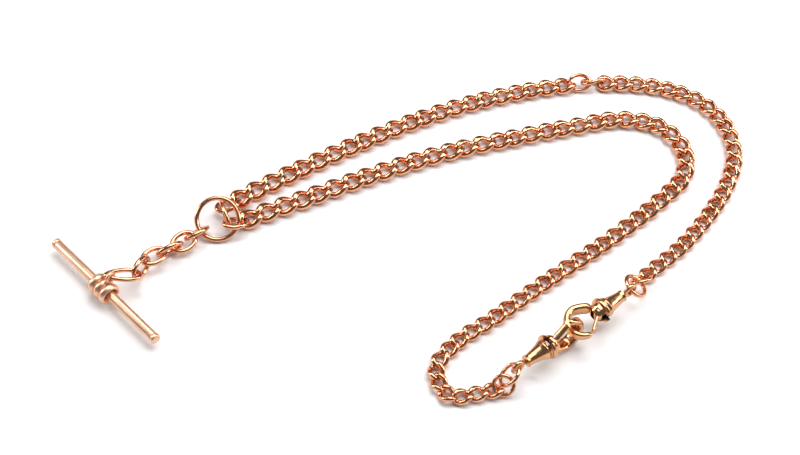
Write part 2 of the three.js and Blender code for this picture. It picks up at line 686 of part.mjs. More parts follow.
const RING_SWING = 6;                 // degrees that a clasp turns in its jump rings
const lastFold = lower[foldCount].meeting;
const closing = lastFold.clone().sub(ringsMeet.a);
addHinge('closing_upper', upperBodies.at(-1).name, 'clasp_a_swivel_eye', ringsMeet.a, closing,
  -RING_SWING, RING_SWING);
addHinge('closing_lower', lower[foldCount].name, lower[foldCount + 1].name, lastFold, closing,
  -RING_SWING, RING_SWING, 'closing_upper');
addHinge('clasp_swivel_a', 'clasp_a_swivel_eye', 'clasp_a', eyeOf.a, claspAxis, -90, 90);
addHinge('clasp_swivel_b', 'clasp_b_swivel_eye', 'clasp_b', eyeOf.b, claspAxis, -90, 90,
  'clasp_swivel_a');

const hookMeeting = claspMiddle.clone();
const hookSwing = lower[foldCount + 1];
addHinge('hook_swing', hookSwing.name, lower[foldCount + 2].name, hookSwing.meeting,
  hookMeeting.clone().sub(hookSwing.meeting), -8, 8);

// Two pairs turn opposite ways about one line, so that what lies past the pair stays put.
const bend = lower.slice(foldCount + 2);
const outerLine = ringsMeet.b.clone().sub(bend[0].meeting);
const innerLine = bend[2].meeting.clone().sub(bend[1].meeting);
addHinge('bend_outer_start', bend[0].name, bend[1].name, bend[0].meeting, outerLine,
  -RING_SWING, RING_SWING);
addHinge('bend_inner_start', bend[1].name, bend[2].name, bend[1].meeting, innerLine, -FOLD, FOLD);
addHinge('bend_inner_end', bend[2].name, bend[3].name, bend[2].meeting, innerLine, -FOLD, FOLD,
  'bend_inner_start', -1);
addHinge('bend_outer_end', bend[3].name, 'clasp_b_swivel_eye', ringsMeet.b, outerLine,
  -RING_SWING, RING_SWING, 'bend_outer_start', -1);

// ---------------------------------------------------------------- the origin

// The whole takes its scale, and its origin goes under its middle, on the surface it lies on.
const wholeScale = new THREE.Matrix4().makeScale(SCALE, SCALE, SCALE);
object.children.forEach((mesh) => mesh.applyMatrix4(wholeScale));
hinges.forEach((hinge) => hinge.point.multiplyScalar(SCALE));
const box = new THREE.Box3().setFromObject(object, true);
const origin = box.getCenter(vec(0, 0, 0)).setZ(box.min.z);
object.children.forEach((mesh) => mesh.position.sub(origin));
hinges.forEach((hinge) => hinge.point.sub(origin));
object.userData = { bodies, hinges, origin };

export default object;
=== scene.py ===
"""Pocket watch chain: fine links, clasps and T-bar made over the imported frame, in metres."""
import bpy
import math
import numpy as np
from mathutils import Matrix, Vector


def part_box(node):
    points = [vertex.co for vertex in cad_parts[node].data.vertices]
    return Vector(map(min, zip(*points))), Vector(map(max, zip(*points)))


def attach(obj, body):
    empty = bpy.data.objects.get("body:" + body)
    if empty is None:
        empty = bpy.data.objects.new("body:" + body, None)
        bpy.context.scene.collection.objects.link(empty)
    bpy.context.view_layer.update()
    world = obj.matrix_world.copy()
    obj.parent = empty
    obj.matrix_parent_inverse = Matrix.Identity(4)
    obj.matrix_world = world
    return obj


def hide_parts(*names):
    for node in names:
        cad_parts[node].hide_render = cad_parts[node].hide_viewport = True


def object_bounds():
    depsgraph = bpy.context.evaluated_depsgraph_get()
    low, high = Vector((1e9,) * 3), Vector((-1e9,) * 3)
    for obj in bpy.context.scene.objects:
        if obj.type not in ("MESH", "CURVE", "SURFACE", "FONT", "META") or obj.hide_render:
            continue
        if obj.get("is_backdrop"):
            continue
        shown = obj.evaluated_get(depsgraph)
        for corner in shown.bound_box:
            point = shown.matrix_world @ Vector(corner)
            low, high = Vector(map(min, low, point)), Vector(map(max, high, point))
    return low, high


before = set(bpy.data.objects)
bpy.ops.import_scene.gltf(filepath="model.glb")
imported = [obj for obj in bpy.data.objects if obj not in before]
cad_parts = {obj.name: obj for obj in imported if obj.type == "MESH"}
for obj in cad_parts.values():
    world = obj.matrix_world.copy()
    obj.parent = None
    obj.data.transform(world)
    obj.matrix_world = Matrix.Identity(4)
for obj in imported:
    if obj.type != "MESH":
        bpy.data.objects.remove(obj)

bl_info = {
    "name": "Pocket Watch Chain",
    "version": (1, 0, 0),
    "blender": (4, 5, 0),
    "location": "View3D > Sidebar > Watch Chain",
    "description": "Builds a double watch chain with a T-bar and two swivel clasps",
    "category": "Object",
}

MM = 0.001
RAD = math.pi / 180


# ------------------------------------------------------------------ layout
# The lines that the chain lies along, in millimetres on the table before the origin is set.
# Each goes on to a point beside its clasp's swivel eye.

UPPER_POINTS = [
    (-35.97, 4.86), (-32.9, 7.2), (-22.7, 13.8), (-9.0, 21.9), (5.2, 29.3), (20.0, 35.0),
    (35.6, 38.6), (50.0, 39.3), (59.4, 37.4), (66.1, 33.4), (70.3, 26.9), (71.4, 19.0),
    (69.3, 11.3), (65.5, 4.2), (58.4, -5.3),
]
LOWER_POINTS = [
    (-34.08, -0.33), (-30.9, 1.6), (-20.1, 6.6), (-5.6, 13.3), (9.2, 19.2), (24.6, 23.6),
    (38.0, 26.9), (48.0, 28.9), (56.0, 26.8), (60.6, 20.3), (60.0, 13.0), (55.0, 6.8),
    (43.2, -4.1), (30.7, -14.0), (18.4, -24.2), (11.4, -29.6), (7.1, -36.0), (9.6, -42.3),
]
UPPER_END_FROM_EYE = (4.43, 6.53)
LOWER_END_FROM_EYE = (-4.73, -3.33)
UPPER_RUNS = [1, 4, 4, 4, 4, 3, 3, 1, 1, 5, 4, 4, 4, 4, 4]
LOWER_RUNS = [1, 4, 3, 3, 3, 3, 3, 3, 3, 3, 3, 3, 4, 4, 4, 4, 3, 5]
UPPER_SINGLES = {0: "upper_end_link", 7: "join_link_inner", 8: "join_link_outer"}
LOWER_SINGLES = {0: "lower_end_link"}
RING_EDGE = (-33.425, 0.16)
BAR_CENTRE = (-59.61, -17.89)
BAR_HEADING = -47.3
COLLAR_OFFSET = -0.5
EYELET_CENTRE = (-58.4, -16.6, 4.85)
EYELET_HEADING = 56
CLASP_CENTRE = (34.6, -28.6)
CLASP_HEADING = 38.7

# Links that lie by themselves: place, then heading, pitch and roll in degrees. The end links'
# places are from the ring's edge, and the jump rings' from their clasp's eye.
END_LINKS = {
    "upper_end_link": ((-2.545, 4.7, -1.22), (39, -8, -21)),
    "lower_end_link": ((-0.655, -0.49, -0.69), (37, -23, -20)),
    "middle_link": ((-2.835, 1.32, -0.33), (112, 8, 84)),
}
# Length, width and twist of each link at the ring, in millimetres and degrees.
END_LINK_SHAPES = {
    "upper_end_link": (6.2, 4.6, 15),
    "lower_end_link": (6.4, 4.7, 10),
    "middle_link": (7.0, 4.6, 0),
}
DROP_LINKS = {
    "drop_link_1": ((-52.7, -12.4, 2.66), (62, -13, 81)),
    "drop_link_2": ((-50.42, -9.07, 2.04), (42, -6, -2)),
    "drop_link_3": ((-47.29, -7.36, 2.2), (30, 2, 111)),
    "drop_link_4": ((-44.59, -5.2, 1.8), (39, 3, 17)),
    "drop_link_5": ((-42.04, -2.96, 1.92), (43, -10, 131)),
}
SHACKLE_PLACE = ((-56.02, -15.29, 3.98), (13, -15, -13))
JOIN_ROLLS = {"join_link_inner": 44, "join_link_outer": -48}
JUMP_RINGS = {
    "jump_ring_a_large": ("a", (1.37, 1.88, -1.04), (67, -21, 30)),
    "jump_ring_a_small": ("a", (2.79, 4.61, -2.54), (49, -22, -35)),
    "jump_ring_b_large": ("b", (-1.57, -0.92, -1.3), (47, 28, -35)),
    "jump_ring_b_small": ("b", (-2.82, -2.83, -2.2), (47, 48, 25)),
}

# The parts of a clasp in millimetres, from the middle of its flange along its own axis.
STRAP_LINE = [(1.3, 1.5), (3.1, 2.8), (5.0, 3.4), (7.0, 2.5), (8.0, 0.8), (8.05, -1.2),
              (7.05, -2.5), (5.4, -3.3)]
STRAP_END_WIDTH = 1.3
STRAP_END_THICKNESS = 1.1
CLASP_LIFT = 0.05
LEVER_PIVOT = (1.35, -0.5, 0)
LEVER_TIP = (4.95, -3.02, 0)
LEVER_WIDTH = 1.5
LEVER_THICKNESS = 0.85
KNUCKLE_OUTLINE = [(-0.8, 0), (-0.8, 0.9), (0.8, 0.9), (0.8, 0)]
RIVET_OUTLINE = [(-1.8, 0), (-1.8, 0.35), (1.8, 0.35), (1.8, 0)]
PIN_HOLE_OUTLINE = [(-3, 0), (-3, 0.38), (3, 0.38), (3, 0)]
STEM_BORE_OUTLINE = [(-6.7, 0), (-6.7, 0.55), (-4.8, 0.55), (-4.8, 0.92), (-3.3, 0.92), (-3.3, 0)]
SLOT_CORNERS = ((-0.6, -3.3, -1.0), (3.4, 0.7, 1.0))
STEM_INSIDE_EYE = 1.225

# The lights: name, place and size in metres, and the setting that holds the watts.
LIGHTS = [
    ("overhead", (0.08, 0.15, 0.50), (0.56, 0.38), "key_power"),
    ("left strip", (-0.50, 0.10, 0.30), (0.08, 0.4), "side_power"),
    ("right strip", (0.55, 0.05, 0.26), (0.06, 0.4), "side_power"),
]
SKY_COLOUR = (0.97, 0.97, 0.97, 1)
SKY_STRENGTH = 0.16
FLOOR_HALF = 1.5
FLOOR_THICKNESS = 0.01
FLOOR_GAP = 0.00005


# ------------------------------------------------------------------ settings

def length(name, description, millimetres):
    """A length property, given in millimetres."""
    return bpy.props.FloatProperty(name=name, description=description, default=millimetres * MM,
                                   unit="LENGTH", precision=5)


def colour(name, description, value):
    """A colour property in linear red, green and blue."""
    return bpy.props.FloatVectorProperty(name=name, description=description, default=value,
                                         subtype="COLOR", size=3, min=0, max=1)


class ChainSizes(bpy.types.PropertyGroup):
    curb_wire: length("Curb wire", "Wire of the widest curb links", 1.0)
    curb_width: length("Curb width", "Width of the widest curb links", 4.6)
    curb_taper: bpy.props.FloatProperty(
        name="Taper", description="Size of an arm's last link over its first", default=0.76)
    curb_twist: bpy.props.FloatProperty(
        name="Twist", description="Turn of each end of a curb link", default=46 * RAD,
        subtype="ANGLE")
    fused_grip: bpy.props.FloatProperty(
        name="Grip", description="Wires between two links of one run", default=0.76)
    loose_grip: bpy.props.FloatProperty(
        name="Loose grip", description="Wires between two runs", default=1.22)
    end_wire: length("End wire", "Wire of the end links", 0.95)
    middle_wire: length("Middle wire", "Wire of the middle link", 0.8)
    join_wire: length("Join wire", "Wire of the two join links", 0.75)
    join_length: length("Join link", "Length of a join link", 5.7)
    join_width: length("Join width", "Width of a join link", 4.1)
    join_twist: bpy.props.FloatProperty(
        name="Join twist", description="Turn of each end of a join link", default=25 * RAD,
        subtype="ANGLE")
    fullness: bpy.props.FloatProperty(
        name="Fullness", description="Finished wire over its drawn size", default=1.06)
    curb_fullness: bpy.props.FloatProperty(
        name="Curb fullness", description="Finished curb wire over its drawn size", default=1.4)
    curb_growth: bpy.props.FloatProperty(
        name="Curb growth", description="Growth of a finished curb link, in wires", default=0.18)
    drop_wire: length("Drop wire", "Wire of the drop's links", 0.95)
    drop_length: length("Drop link", "Length of a drop link", 6.25)
    drop_width: length("Drop width", "Width of a drop link", 4.6)
    ring_wire: length("Ring wire", "Wire of the large ring", 0.95)
    ring_diameter: length("Ring", "Outer diameter of the large ring", 9.7)
    ring_rise: length("Ring rise", "Height of the ring's middle over its resting rim", 2.1875)
    shackle_wire: length("Shackle wire", "Wire of the pear shackle", 0.9)
    shackle_length: length("Shackle", "Length of the pear shackle", 8.0)
    shackle_wide: length("Shackle wide end", "Width of the pear shackle's wide end", 4.8)
    shackle_narrow: length("Shackle narrow end", "Width of the pear shackle's narrow end", 3.1)
    jump_wire: length("Jump wire", "Wire of the jump rings", 0.8)
    jump_large: length("Large jump ring", "Outer diameter", 5.6)
    jump_small: length("Small jump ring", "Outer diameter", 4.8)


class BarSizes(bpy.types.PropertyGroup):
    bar_length: length("Bar length", "Whole length of the T-bar", 33.4)
    bar_diameter: length("Bar diameter", "Diameter of the T-bar", 2.1)
    cap_length: length("Cap length", "Length of each end cap", 1.0)
    cap_radius: length("Cap radius", "Radius of each end cap", 1.12)
    collar_length: length("Collar length", "Length of the ridged collar", 5.2)
    collar_radius: length("Collar radius", "Radius at the collar's ridges", 2.35)
    collar_valley: length("Collar valley", "Radius between the ridges", 1.75)
    eyelet_wire: length("Eyelet wire", "Wire of the eyelet", 0.75)
    eyelet_diameter: length("Eyelet", "Outer diameter of the eyelet", 2.9)


class ClaspSizes(bpy.types.PropertyGroup):
    reach: length("Reach", "Flange to the middle of the swivel eye", 7.7)
    throat: length("Throat", "Flange to the far end of the hook", 8.05)
    interlock: length("Interlock", "How far the hooks reach past each other", 1.85)
    flange_radius: length("Flange radius", "Radius of the flange", 2.6)
    barrel_radius: length("Barrel radius", "Radius of the barrel's narrow end", 1.3)
    strap_width: length("Strap width", "Width of the hook's strap", 2.7)
    strap_thickness: length("Strap thickness", "Thickness of the hook's strap", 1.5)
    eye_wire: length("Eye wire", "Wire of the swivel eye", 0.85)
    eye_diameter: length("Eye", "Outer diameter of the swivel eye", 3.3)


class Finishes(bpy.types.PropertyGroup):
    chain_gold: colour("Chain", "Polished rose gold", (0.81, 0.385, 0.215))
    bar_gold: colour("T-bar", "Satin rose gold", (0.86, 0.53, 0.355))
    clasp_gold: colour("Clasps", "Darker polished gold", (0.70, 0.385, 0.195))
    spring_steel: colour("Spring", "Blued spring steel", (0.30, 0.30, 0.33))
    floor: colour("Floor", "Matt pale floor", (0.93, 0.93, 0.935))


class StageSettings(bpy.types.PropertyGroup):
    camera_distance: length("Camera distance", "Camera to the middle of the table", 420)
    camera_height: bpy.props.FloatProperty(
        name="Camera height", description="Angle above the table", default=52 * RAD,
        subtype="ANGLE")
    lens: bpy.props.FloatProperty(name="Lens", description="Focal length in mm", default=90.7)
    key_power: bpy.props.FloatProperty(
        name="Overhead light", description="Watts of the overhead softbox", default=3.1)
    side_power: bpy.props.FloatProperty(
        name="Side lights", description="Watts of the strip lights", default=1.5)


def settings():
    return bpy.context.scene.watch_chain


class WatchChain(bpy.types.PropertyGroup):
    chain: bpy.props.PointerProperty(type=ChainSizes)
    bar: bpy.props.PointerProperty(type=BarSizes)
    clasp: bpy.props.PointerProperty(type=ClaspSizes)
    finish: bpy.props.PointerProperty(type=Finishes)
    stage: bpy.props.PointerProperty(type=StageSettings)


# ------------------------------------------------------------------ places

def turn(heading, roll=0.0, pitch=0.0):
    """Matrix of a roll about X, then a pitch that lifts X, then a heading about Z."""
    ch, sh = math.cos(heading), math.sin(heading)
    cp, sp = math.cos(pitch), math.sin(pitch)
    cr, sr = math.cos(roll), math.sin(roll)
    about_z = np.array([[ch, -sh, 0], [sh, ch, 0], [0, 0, 1]])
    about_y = np.array([[cp, 0, -sp], [0, 1, 0], [sp, 0, cp]])
    about_x = np.array([[1, 0, 0], [0, cr, -sr], [0, sr, cr]])
    return about_z @ about_y @ about_x


def turned_by(angles):
    """Matrix from heading, pitch and roll in degrees."""
    heading, pitch, roll = (a * RAD for a in angles)
    return turn(heading, roll, pitch)


def ring_edge():
    """Place on the layout of the ring's wire where the lower arm holds it."""
    sizes = settings().chain
    height = sizes.ring_rise + sizes.ring_wire / 2
    return np.array([RING_EDGE[0] * MM, RING_EDGE[1] * MM, height])


def ring_radius():
    sizes = settings().chain
    return (sizes.ring_diameter - sizes.ring_wire) / 2


def table_shift():
    """Move from the table's layout to the frame, found from where the ring is."""
    low, high = (np.array(c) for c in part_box("albert_ring"))
    return (low + high) / 2 - ring_edge() + np.array([ring_radius(), 0, 0])


def placed(point):
    """A point of the layout in millimetres, in the frame."""
    return np.array(point) * MM + table_shift()


def spline(points, t):
    """Centripetal Catmull-Rom curve through the points, at t from 0 to 1.

    Each stretch is a cubic whose end slopes come from the neighbours, with knots spaced by
    the square root of the distances.
    """
    p = np.asarray(points, float)
    p = np.vstack([2 * p[0] - p[1], p, 2 * p[-1] - p[-2]])
    count = len(points) - 1
    place = np.clip(np.asarray(t, float), 0, 1) * count
    k = np.minimum(place.astype(int), count - 1)
    w = (place - k)[:, None]
    a, b, c, d = p[k], p[k + 1], p[k + 2], p[k + 3]

    def knot(u, v):
        return np.sqrt(np.linalg.norm(v - u, axis=1))[:, None]

    d0, d1, d2 = knot(a, b), knot(b, c), knot(c, d)
    s1 = ((b - a) / d0 - (c - a) / (d0 + d1) + (c - b) / d1) * d1
    s2 = ((c - b) / d1 - (d - b) / (d1 + d2) + (d - c) / d2) * d1
    return b + w * (s1 + w * ((3 * (c - b) - 2 * s1 - s2) + w * (2 * (b - c) + s1 + s2)))


class Route:
    """A curve that is asked for its points by distance."""

    def __init__(self, points):
        self.points = points
        self.steps = np.linspace(0, 1, 201)
        bits = np.diff(spline(points, self.steps), axis=0)
        self.along = np.concatenate([[0], np.cumsum(np.linalg.norm(bits, axis=1))])

    def at(self, distance):
        """Place and heading at each distance."""
        t = np.interp(np.minimum(distance, self.along[-1]), self.along, self.steps)
        ahead = spline(self.points, np.minimum(t + 1e-4, 1))
        slope = ahead - spline(self.points, np.maximum(t - 1e-4, 0))
        return spline(self.points, t), np.arctan2(slope[:, 1], slope[:, 0])


def rest_height(width, wire, twist, roll=0.0):
    """Height of an oval link's middle when its lowest point touches the table."""
    angles = np.linspace(0, 180, 181) * RAD
    depth = np.abs(np.sin(roll - twist * np.cos(angles))) * np.sin(angles)
    return (width - wire) / 2 * depth.max() + wire / 2


def lay_arm(points, runs):
    """Centre, heading, length, width and wire of each link of an arm.

    The links shrink evenly along the arm, and their reach is set so that they fill its line:
    a link's centre lies one reach of both neighbours, less their grip, from the last.
    """
    sizes = settings().chain
    route = Route(np.array([(x * MM, y * MM) for x, y in points]))
    count = sum(runs)
    scale = 1 - (1 - sizes.curb_taper) * np.arange(count) / (count - 1)
    loose = np.isin(np.arange(count - 1), np.cumsum(runs) - 1)
    grip = np.where(loose, sizes.loose_grip, sizes.fused_grip)
    wires = sizes.curb_wire * scale
    gripped = grip * (wires[:-1] + wires[1:]) / 2
    pairs = scale[:-1] + scale[1:]
    reach = (route.along[-1] + gripped.sum()) / pairs.sum()
    along = np.concatenate([[0], np.cumsum(reach * pairs - gripped)])
    centres, headings = route.at(along)
    widths = sizes.curb_width * scale
    links = []
    for i in range(count):
        rest = rest_height(widths[i], wires[i], sizes.curb_twist)
        links.append({
            "centre": np.array([*centres[i], rest]) + table_shift(),
            "heading": headings[i],
            "length": 2 * reach * scale[i] + wires[i],
            "width": widths[i],
            "wire": wires[i],
        })
    return links


# ------------------------------------------------------------------ surfaces

def outward(points, faces):
    """The faces turned so that the closed surface holds a positive volume."""
    p = [points[[f[k] for f in faces]] for k in (0, 1, 2)]
    volume = np.einsum("ij,ij->i", p[0], np.cross(p[1], p[2])).sum()
    return [tuple(reversed(f)) for f in faces] if volume < 0 else faces


def grid_faces(rows, columns, close_rows):
    """Quads of a grid that closes round its columns, and round its rows if asked."""
    last = rows if close_rows else rows - 1
    r, c = np.meshgrid(np.arange(last), np.arange(columns), indexing="ij")
    r2, c2 = (r + 1) % rows, (c + 1) % columns
    corners = [r * columns + c, r * columns + c2, r2 * columns + c2, r2 * columns + c]
    return [tuple(f) for f in np.stack(corners, -1).reshape(-1, 4).tolist()]


def wire_loop(path, wire, along=44, around=12):
    """Round wire bent into a closed loop.

    A point is the path at angle t plus half the wire, turned by angle s from the outward
    normal towards the binormal.
    """
    t = np.linspace(0, 2 * np.pi, along, endpoint=False)
    s = np.linspace(0, 2 * np.pi, around, endpoint=False)
    centre = path(t)
    tangent = path(t + 1e-3) - path(t - 1e-3)
    tangent /= np.linalg.norm(tangent, axis=1)[:, None]
    normal = centre - tangent * np.einsum("ij,ij->i", centre, tangent)[:, None]
    normal /= np.linalg.norm(normal, axis=1)[:, None]
    binormal = np.cross(normal, tangent)
    offset = (np.cos(s)[None, :, None] * normal[:, None]
              + np.sin(s)[None, :, None] * binormal[:, None])
    points = (centre[:, None] + offset * wire / 2).reshape(-1, 3)
    return points, outward(points, grid_faces(along, around, True))


def finished_wire(path, wire, along=44, around=12):
    """Loop of wire at its finished thickness, on the path of its drawn one."""
    return wire_loop(path, wire * settings().chain.fullness, along, around)


def oval(length, width, wire, twist=0.0):
    """Path of an oval link: an ellipse whose two ends are turned opposite ways about X."""
    def path(t):
        side = (width - wire) / 2 * np.sin(t)
        turn_here = -twist * np.cos(t)
        return np.stack([(length - wire) / 2 * np.cos(t), side * np.cos(turn_here),
                         side * np.sin(turn_here)], -1)
    return path


def circle(diameter, wire):
    """Path of a round ring."""
    return oval(diameter, diameter, wire)


def pear(length, wide, narrow, wire):
    """Path whose half width grows evenly from the narrow to the wide end."""
    mean = (wide + narrow - 2 * wire) / 4
    growth = (wide - narrow) / 4

    def path(t):
        half = mean + growth * np.cos(t)
        return np.stack([(length - wire) / 2 * np.cos(t), half * np.sin(t), 0 * t], -1)
    return path


def eased(profile, radius, steps=4):
    """The outline with each inner corner rounded by a quadratic curve of that reach."""
    p = np.asarray(profile, float)
    out = [p[0]]
    s = np.linspace(0, 1, steps)[:, None]
    for before, corner, after in zip(p[:-2], p[1:-1], p[2:]):
        back, on = before - corner, after - corner
        reach = min(radius, np.linalg.norm(back) / 2.2, np.linalg.norm(on) / 2.2)
        a = corner + back / np.linalg.norm(back) * reach
        b = corner + on / np.linalg.norm(on) * reach
        out.extend((1 - s) ** 2 * a + 2 * s * (1 - s) * corner + s ** 2 * b)
    out.append(p[-1])
    return np.array(out)


def turned(profile, around=40):
    """Solid turned about X: each (x, radius) becomes a ring, and radius 0 at an end a pole."""
    p = np.asarray(profile, float)
    poles = p[0, 1] == 0 and p[-1, 1] == 0
    rings = p[1:-1] if poles else p
    s = np.linspace(0, 2 * np.pi, around, endpoint=False)
    grid = np.stack([
        np.broadcast_to(rings[:, :1], (len(rings), around)),
        rings[:, 1:] * np.cos(s), rings[:, 1:] * np.sin(s)], -1).reshape(-1, 3)
    faces = grid_faces(len(rings), around, not poles)
    if poles:
        first, last = len(grid), len(grid) + 1
        end = (len(rings) - 1) * around
        grid = np.vstack([grid, [p[0, 0], 0, 0], [p[-1, 0], 0, 0]])
        faces += [(first, (k + 1) % around, k) for k in range(around)]
        faces += [(last, end + k, end + (k + 1) % around) for k in range(around)]
    return grid, outward(grid, faces)


def strip(centre, width, thickness, around=20, dome=0.12):
    """Rounded strip along a curve in the XY plane, domed at both ends.

    Its section is a superellipse, |y|^3 + |z|^3 = 1, scaled by the width across Z and the
    thickness in the plane, and the dome shrinks it by a quarter circle at each end.
    """
    rows = len(centre)
    u = np.linspace(0, 1, rows)
    tangent = np.gradient(centre, axis=0)
    tangent /= np.linalg.norm(tangent, axis=1)[:, None]
    inward = np.stack([-tangent[:, 1], tangent[:, 0], 0 * u], -1)
    near_end = np.clip(np.minimum(u, 1 - u) / dome, 0, 1)
    swell = np.sqrt(np.clip(1 - (1 - near_end) ** 2, 0, 1))
    s = np.linspace(0, 2 * np.pi, around, endpoint=False)
    c, d = np.cos(s), np.sin(s)
    round_off = (np.abs(c) ** 3 + np.abs(d) ** 3) ** (-1 / 3)
    across = (width / 2 * swell)[:, None] * (c * round_off)
    within = (thickness / 2 * swell)[:, None] * (d * round_off)
    grid = centre[:, None] + across[..., None] * np.array([0, 0, 1]) \
        + within[..., None] * inward[:, None]
    grid = grid[1:-1].reshape(-1, 3)
    faces = grid_faces(rows - 2, around, False)
    first, last, end = len(grid), len(grid) + 1, (rows - 3) * around
    grid = np.vstack([grid, centre[0], centre[-1]])
    faces += [(first, (k + 1) % around, k) for k in range(around)]
    faces += [(last, end + k, end + (k + 1) % around) for k in range(around)]
    return grid, outward(grid, faces)


def block(low, high):
    """Box between two corners."""
    x, y, z = np.meshgrid(*zip(low, high), indexing="ij")
    points = np.stack([x, y, z], -1).reshape(-1, 3)
    faces = [(0, 1, 3, 2), (4, 6, 7, 5), (0, 4, 5, 1), (2, 3, 7, 6), (0, 2, 6, 4), (1, 5, 7, 3)]
    return points, outward(points, faces)


def moved(surface, matrix, centre=(0, 0, 0)):
    """The surface turned by a matrix and then carried to its centre."""
    points, faces = surface
    return points @ matrix.T + np.asarray(centre), faces


def together(*surfaces):
    """Several closed surfaces as one."""
    points, faces, start = [], [], 0
    for p, f in surfaces:
        points.append(p)
        faces += [tuple(i + start for i in face) for face in f]
        start += len(p)
    return np.vstack(points), faces


# ------------------------------------------------------------------ pieces

def mesh_of(name, surface):
    mesh = bpy.data.meshes.new(name)
    points, faces = surface
    mesh.from_pydata(points.tolist(), [], faces)
    mesh.update()
    return mesh


def piece(name, surface, material, body, *nodes, slot="chain", sharp=None):
    """A finished piece that rides on a body and stands for CAD nodes."""
    mesh = surface if isinstance(surface, bpy.types.Mesh) else mesh_of(name, surface)
    mesh.shade_smooth()
    if sharp is not None:
        mesh.set_sharp_from_angle(angle=sharp * RAD)
    mesh.materials.clear()
    mesh.materials.append(material)
    item = bpy.data.objects.new(name, mesh)
    bpy.context.scene.collection.objects.link(item)
    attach(item, body)
    if nodes:
        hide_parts(*nodes)
    return item


def carved(name, body, joined=(), cuts=()):
    """Mesh of a closed surface with others joined to it and others cut away."""
    scene = bpy.context.scene.collection
    base = bpy.data.objects.new(name, mesh_of(name, body))
    scene.objects.link(base)
    tools = []
    for operation, surfaces in (("UNION", joined), ("DIFFERENCE", cuts)):
        for surface in surfaces:
            tool = bpy.data.objects.new(name + "_tool", mesh_of(name + "_tool", surface))
            scene.objects.link(tool)
            tools.append(tool)
            modifier = base.modifiers.new(operation, "BOOLEAN")
            modifier.operation = operation
            modifier.solver = "EXACT"
            modifier.object = tool
    bpy.context.view_layer.update()
    graph = bpy.context.evaluated_depsgraph_get()
    result = bpy.data.meshes.new_from_object(base.evaluated_get(graph))
    if len(result.polygons) < len(body[1]) // 2:
        raise RuntimeError(f"{name}: the cut left too little")
    for item in (base, *tools):
        bpy.data.objects.remove(item)
    result.name = name
    return result


# ------------------------------------------------------------------ materials

class Value:
    """A shader number, on which sums and products add Math nodes."""

    def __init__(self, tree, socket):
        self.tree = tree
        self.socket = socket

    def math(self, operation, *others):
        node = self.tree.nodes.new("ShaderNodeMath")
        node.operation = operation
        for place, term in enumerate((self, *others)):
            if isinstance(term, Value):
                self.tree.links.new(term.socket, node.inputs[place])
            else:
                node.inputs[place].default_value = term
        return Value(self.tree, node.outputs[0])

    def __add__(self, other):
        return self.math("ADD", other)

    def __mul__(self, other):
        return self.math("MULTIPLY", other)

    def __sub__(self, other):
        return self.math("SUBTRACT", other)

    def __rsub__(self, other):
        return (self * -1.0) + other

    __radd__ = __add__
    __rmul__ = __mul__


class Finish:
    """A material whose nodes are added one by one."""

    def __init__(self, name):
        self.material = bpy.data.materials.new(name)
        self.material.use_nodes = True
        self.tree = self.material.node_tree
        self.tree.nodes.clear()

    def add(self, kind, settings=None, inputs=None, output=0):
        """A node of a type, its settings first, then its sockets' values or links."""
        node = self.tree.nodes.new(kind)
        for key, value in (settings or {}).items():
            if key == "stops":
                for stop, (at, shade) in zip(node.color_ramp.elements, value):
                    stop.position = at
                    stop.color = shade
            else:
                setattr(node, key, value)
        for key, value in (inputs or {}).items():
            if isinstance(value, Value):
                self.tree.links.new(value.socket, node.inputs[key])
            else:
                node.inputs[key].default_value = value
        return Value(self.tree, node.outputs[output])

    def coordinates(self, scale=(1, 1, 1), heading=0.0):
        """Object coordinates, stretched and turned about Z."""
        place = self.add("ShaderNodeTexCoord", output=3)
        return self.add("ShaderNodeMapping", {"vector_type": "TEXTURE"}, {
            "Vector": place, "Rotation": (0, 0, heading), "Scale": scale})

    def noise(self, where, scale, detail=3.0, rough=0.5):
        return self.add("ShaderNodeTexNoise", {"noise_dimensions": "3D"}, {
            "Vector": where, "Scale": scale, "Detail": detail, "Roughness": rough})

    def ranged(self, value, low, high, to_low, to_high):
        """The value carried from one range to another, held inside it."""
        return self.add("ShaderNodeMapRange", {"clamp": True}, {
            "Value": value, "From Min": low, "From Max": high, "To Min": to_low,
            "To Max": to_high})

    def blend(self, factor, first, second):
        """A colour between two, by a factor."""
        return self.add("ShaderNodeMix", {"data_type": "RGBA"}, {
            0: factor, 6: first, 7: second}, output=2)

    def finish(self, **sockets):
        inputs = {key.replace("_", " "): value for key, value in sockets.items()}
        shader = self.add("ShaderNodeBsdfPrincipled", {}, inputs)
        out = self.tree.nodes.new("ShaderNodeOutputMaterial")
        self.tree.links.new(shader.socket, out.inputs["Surface"])
        return self.material


def shade(colour_value, factor, red=1.0):
    """A colour made darker or lighter, with its red kept by a share."""
    r, g, b = colour_value
    return (r * factor ** (1 / red), g * factor, b * factor, 1.0)


def polished_gold(name, colour_value, gloss, scratches, heading=0.0):
    """Polished gold alloy: cloudy tint, handling haze, and fine scratches that catch light."""
    made = Finish(name)
    plain = made.coordinates()
    drawn = made.coordinates((1.0, 0.07, 1.0), heading)
    cloud = made.noise(plain, 420.0, 2.0)
    haze = made.ranged(made.noise(plain, 1300.0, 4.0, 0.6), 0.42, 0.72, 0.0, 1.0)
    scratch = made.ranged(made.noise(drawn, 2600.0, 3.0, 0.7), 0.56, 0.72, 0.0, 1.0)
    tint = made.blend(made.ranged(cloud, 0.35, 0.65, 0.0, 1.0),
                      shade(colour_value, 0.86, 1.6), shade(colour_value, 1.04))
    worn = made.blend(haze * 0.35, tint, shade(colour_value, 0.70, 1.4))
    roughness = haze * 0.10 + scratch * scratches + gloss
    height = scratch * -0.5 + made.noise(plain, 900.0, 2.0) * 0.8
    bump = made.add("ShaderNodeBump", {}, {"Strength": 0.16, "Distance": 0.00006,
                                           "Height": height})
    return made.finish(Base_Color=worn, Metallic=1.0, Roughness=roughness, Normal=bump)


